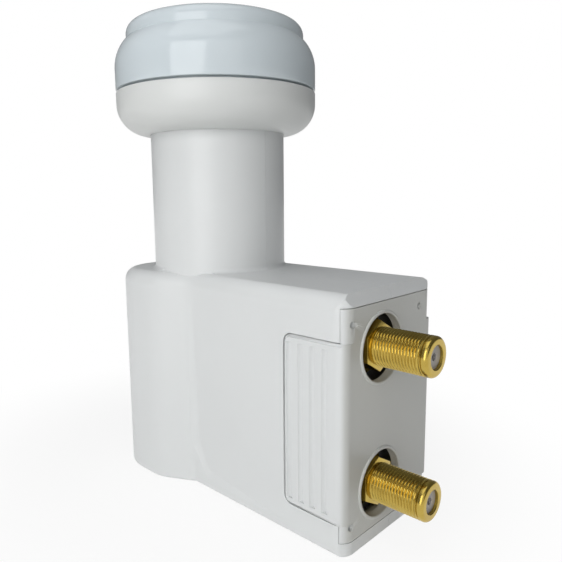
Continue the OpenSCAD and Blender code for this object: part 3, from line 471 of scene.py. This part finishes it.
# pale floor that runs out into white for the camera and keeps the shadow
def makeFloor():
    bm = bmesh.new()
    bmesh.ops.create_circle(bm, cap_ends=True, segments=64, radius=ground["radius"])
    mesh = bpy.data.meshes.new("floor")
    bm.to_mesh(mesh)
    bm.free()
    floor = bpy.data.objects.new("floor", mesh)
    bpy.context.scene.collection.objects.link(floor)
    material, tree = newMaterial("pale matt floor")
    place = addNode(tree, "ShaderNodeTexCoord").outputs["Object"]
    spread = addNode(tree, "ShaderNodeVectorMath", {"operation": "LENGTH"}, {0: place})
    away = addNode(tree, "ShaderNodeMapRange",
                   {"interpolation_type": "SMOOTHSTEP", "From Min": ground["fadeStart"],
                    "From Max": ground["fadeEnd"], "To Min": ground["leastWhite"]},
                   {"Value": spread.outputs["Value"]})
    rays = addNode(tree, "ShaderNodeLightPath")
    seen = addNode(tree, "ShaderNodeMath", {"operation": "MAXIMUM"},
                   {0: rays.outputs["Is Camera Ray"], 1: rays.outputs["Is Glossy Ray"]})
    seenToo = addNode(tree, "ShaderNodeMath", {"operation": "MAXIMUM"},
                      {0: seen.outputs[0], 1: rays.outputs["Is Transmission Ray"]})
    share = addNode(tree, "ShaderNodeMath", {"operation": "MULTIPLY"},
                    {0: seenToo.outputs[0], 1: away.outputs[0]})
    matt = addNode(tree, "ShaderNodeBsdfDiffuse", {"Color": linearColour(ground["colour"])})
    white = addNode(tree, "ShaderNodeEmission", {"Color": (1, 1, 1, 1), "Strength": 1.0})
    mix = addNode(tree, "ShaderNodeMixShader", {},
                  {0: share.outputs[0], 1: matt.outputs[0], 2: white.outputs[0]})
    addNode(tree, "ShaderNodeOutputMaterial", {}, {"Surface": mix.outputs[0]})
    mesh.materials.append(material)


sky = {      # soft light from all round, weaker from the side that the connectors face
    "dimSide": (0.94, 0.34, 0), "from": -0.2, "to": 0.9, "bright": 0.22, "dim": 0.13,
    "colour": (0.96, 0.98, 1.0, 1),
}


def makeWorld():
    world = bpy.data.worlds.new("studio")
    bpy.context.scene.world = world
    world.use_nodes = True
    tree = world.node_tree
    tree.nodes.clear()
    rays = addNode(tree, "ShaderNodeLightPath")
    seen = addNode(tree, "ShaderNodeMath", {"operation": "MAXIMUM"},
                   {0: rays.outputs["Is Camera Ray"], 1: rays.outputs["Is Transmission Ray"]})
    bearing = addNode(tree, "ShaderNodeTexCoord").outputs["Generated"]
    facing = addNode(tree, "ShaderNodeVectorMath", {"operation": "DOT_PRODUCT", 1: sky["dimSide"]},
                     {0: bearing})
    strength = addNode(tree, "ShaderNodeMapRange",
                       {"From Min": sky["from"], "From Max": sky["to"],
                        "To Min": sky["bright"], "To Max": sky["dim"]},
                       {"Value": facing.outputs["Value"]})
    soft = addNode(tree, "ShaderNodeBackground", {"Color": sky["colour"]},
                   {"Strength": strength.outputs[0]})
    white = addNode(tree, "ShaderNodeBackground", {"Color": (1, 1, 1, 1), "Strength": 1.0})
    mix = addNode(tree, "ShaderNodeMixShader", {},
                  {0: seen.outputs[0], 1: soft.outputs[0], 2: white.outputs[0]})
    addNode(tree, "ShaderNodeOutputWorld", {}, {"Surface": mix.outputs[0]})


lamps = {      # bearing from +X towards +Y, height, distance, width, tall, watts
    "window": (-73, 15, 0.34, 0.22, 0.3, 0.57),
    "room": (-40, 20, 0.9, 0.9, 0.7, 1.4),
    "skylight": (-150, 45, 0.9, 0.5, 0.5, 0.22),
    "ceiling": (-75, 75, 0.6, 0.5, 0.5, 1.0),
}
lampAim = (0.015, 0, 0.075)      # metres, the middle of the part


def makeLamps():
    aim = Vector(lampAim)
    for name, (bearing, height, distance, width, tall, watts) in lamps.items():
        lamp = bpy.data.lights.new(name, "AREA")
        lamp.shape = "RECTANGLE"
        lamp.size = width
        lamp.size_y = tall
        lamp.energy = watts
        turn, climb = math.radians(bearing), math.radians(height)
        ray = Vector((math.cos(climb) * math.cos(turn), math.cos(climb) * math.sin(turn), math.sin(climb)))
        holder = bpy.data.objects.new(name, lamp)
        holder.location = aim + ray * distance
        holder.rotation_euler = (-ray).to_track_quat("-Z", "Y").to_euler()
        bpy.context.scene.collection.objects.link(holder)


camera = {      # fitted to the photograph
    "place": (134.93, -119.04, 85.25),          # mm
    "azimuth": 44.11, "pitch": 8.40, "roll": -0.67,
    "lens": 36.846, "sensor": 36, "shiftX": 0.02765, "shiftY": -0.01018, "nearest": 0.01,
}


def makeCamera():
    c = camera
    turn, dip, roll = (math.radians(c[key]) for key in ("azimuth", "pitch", "roll"))
    forward = Vector((-math.sin(turn) * math.cos(dip), math.cos(turn) * math.cos(dip), -math.sin(dip)))
    right = Vector((math.cos(turn), math.sin(turn), 0))
    up = right.cross(forward)
    side = math.cos(roll) * right + math.sin(roll) * up
    top = -math.sin(roll) * right + math.cos(roll) * up
    lens = bpy.data.cameras.new("camera")
    lens.lens = c["lens"]
    lens.sensor_width = c["sensor"]
    lens.shift_x = c["shiftX"]
    lens.shift_y = c["shiftY"]
    lens.clip_start = c["nearest"]
    holder = bpy.data.objects.new("camera", lens)
    matrix = Matrix((side, top, -forward)).transposed().to_4x4()
    matrix.translation = Vector(c["place"]) * mm
    holder.matrix_world = matrix
    bpy.context.scene.collection.objects.link(holder)
    bpy.context.scene.camera = holder


makeFloor()
makeWorld()
makeLamps()
makeCamera()
bpy.context.scene.view_settings.view_transform = "Standard"
print("studio ready")
